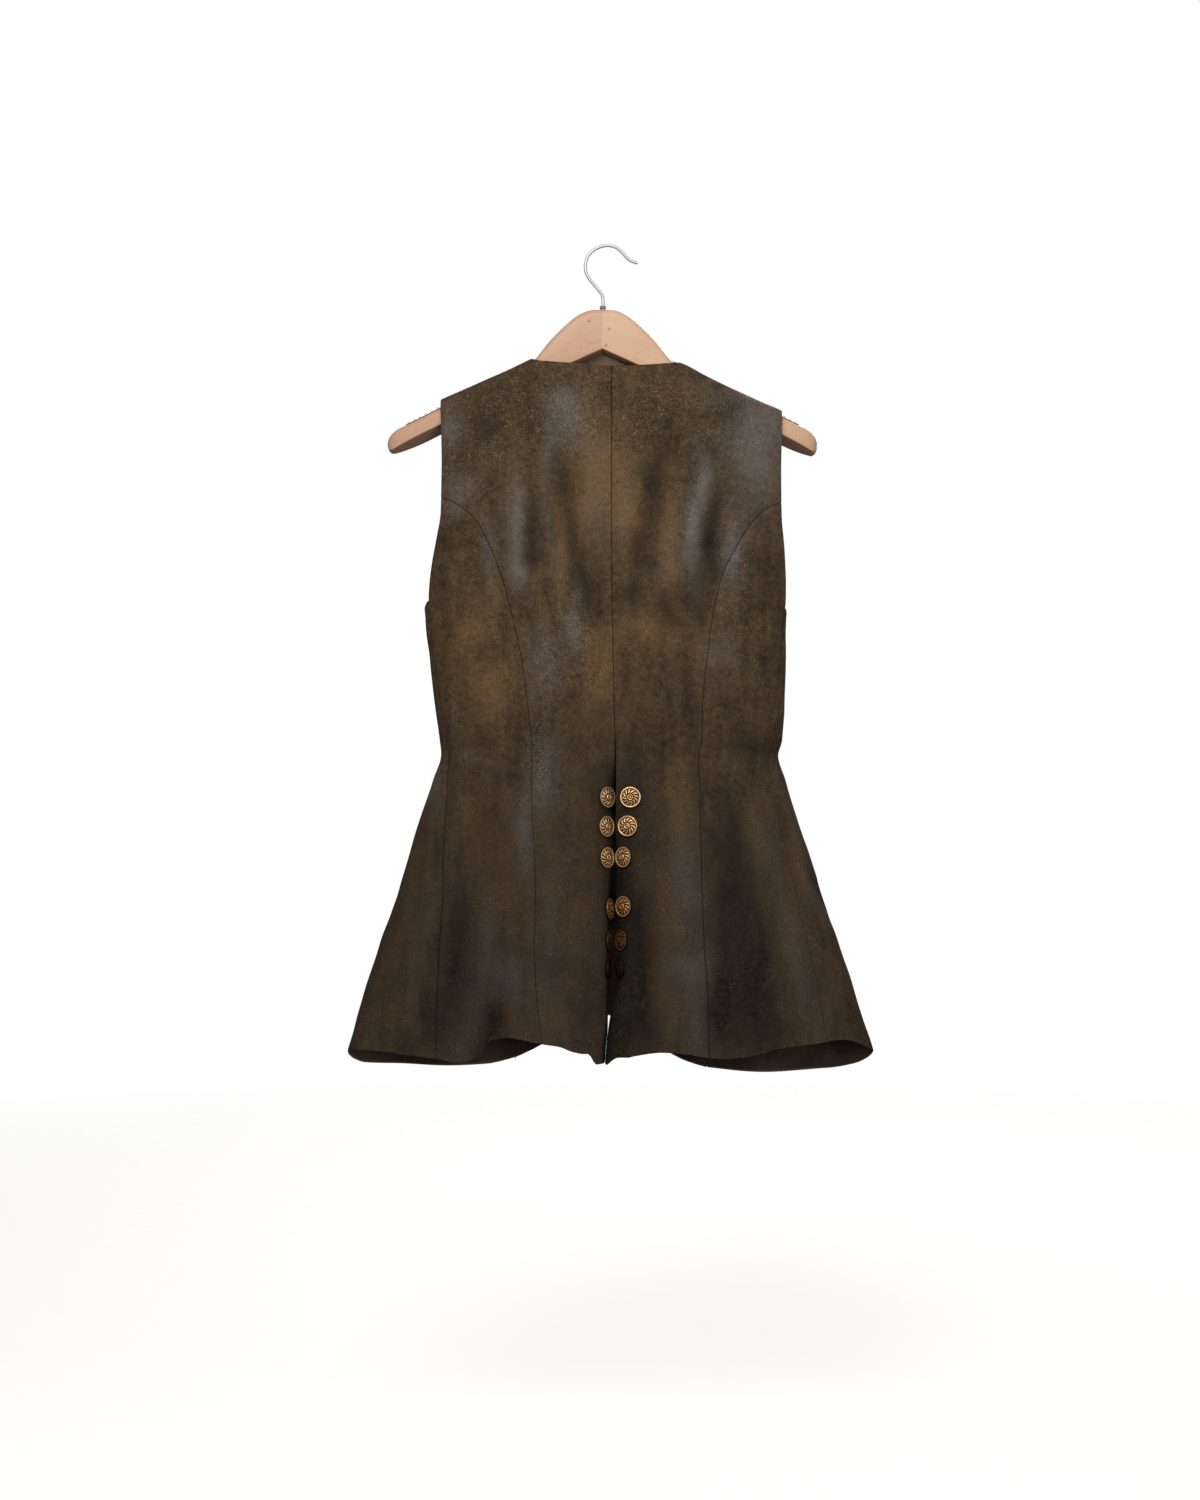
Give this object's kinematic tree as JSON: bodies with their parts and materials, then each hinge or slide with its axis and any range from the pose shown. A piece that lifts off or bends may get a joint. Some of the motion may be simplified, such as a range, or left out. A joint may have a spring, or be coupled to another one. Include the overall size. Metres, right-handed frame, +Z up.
{
  "type": "leather vest on hanger",
  "caption": "Sleeveless fitted leather vest with a flared skirt and a buttoned back vent, hung on a contoured wooden hanger with a steel hook.",
  "frame": {"origin": "inner top of the hanger's hook, where it hangs on a rail", "axes": "+Z up, the garment's back faces -Y and its front +Y, the wearer's left is at -X"},
  "size_m": [0.5524, 0.1327, 0.8671],
  "materials": {
    "leather": "distressed suede side out, matte",
    "brass": "antiqued cast brass",
    "wood": "satin lacquered beech",
    "rib": "pale moulded non-slip rubber",
    "steel": "polished bright wire"
  },
  "bodies": {
    "root": {"back_left": "leather", "back_right": "leather", "side_back_left": "leather", "side_back_right": "leather", "side_front_left": "leather", "side_front_right": "leather", "front_left": "leather", "front_right": "leather", "vent_button_left_1": "brass", "vent_button_left_2": "brass", "vent_button_left_3": "brass", "vent_button_left_4": "brass", "vent_button_left_5": "brass", "vent_button_left_6": "brass", "vent_button_right_1": "brass", "vent_button_right_2": "brass", "vent_button_right_3": "brass", "vent_button_right_4": "brass", "vent_button_right_5": "brass", "vent_button_right_6": "brass", "front_button_1": "brass", "front_button_2": "brass", "front_button_3": "brass", "front_button_4": "brass", "front_button_5": "brass", "front_button_6": "brass", "front_button_7": "brass", "front_button_8": "brass", "hanger_arm_left": "wood", "hanger_arm_right": "wood", "rib_strip_left": "rib", "rib_strip_right": "rib", "hook": "steel", "hook_collar": "steel"}
  },
  "joints": []
}
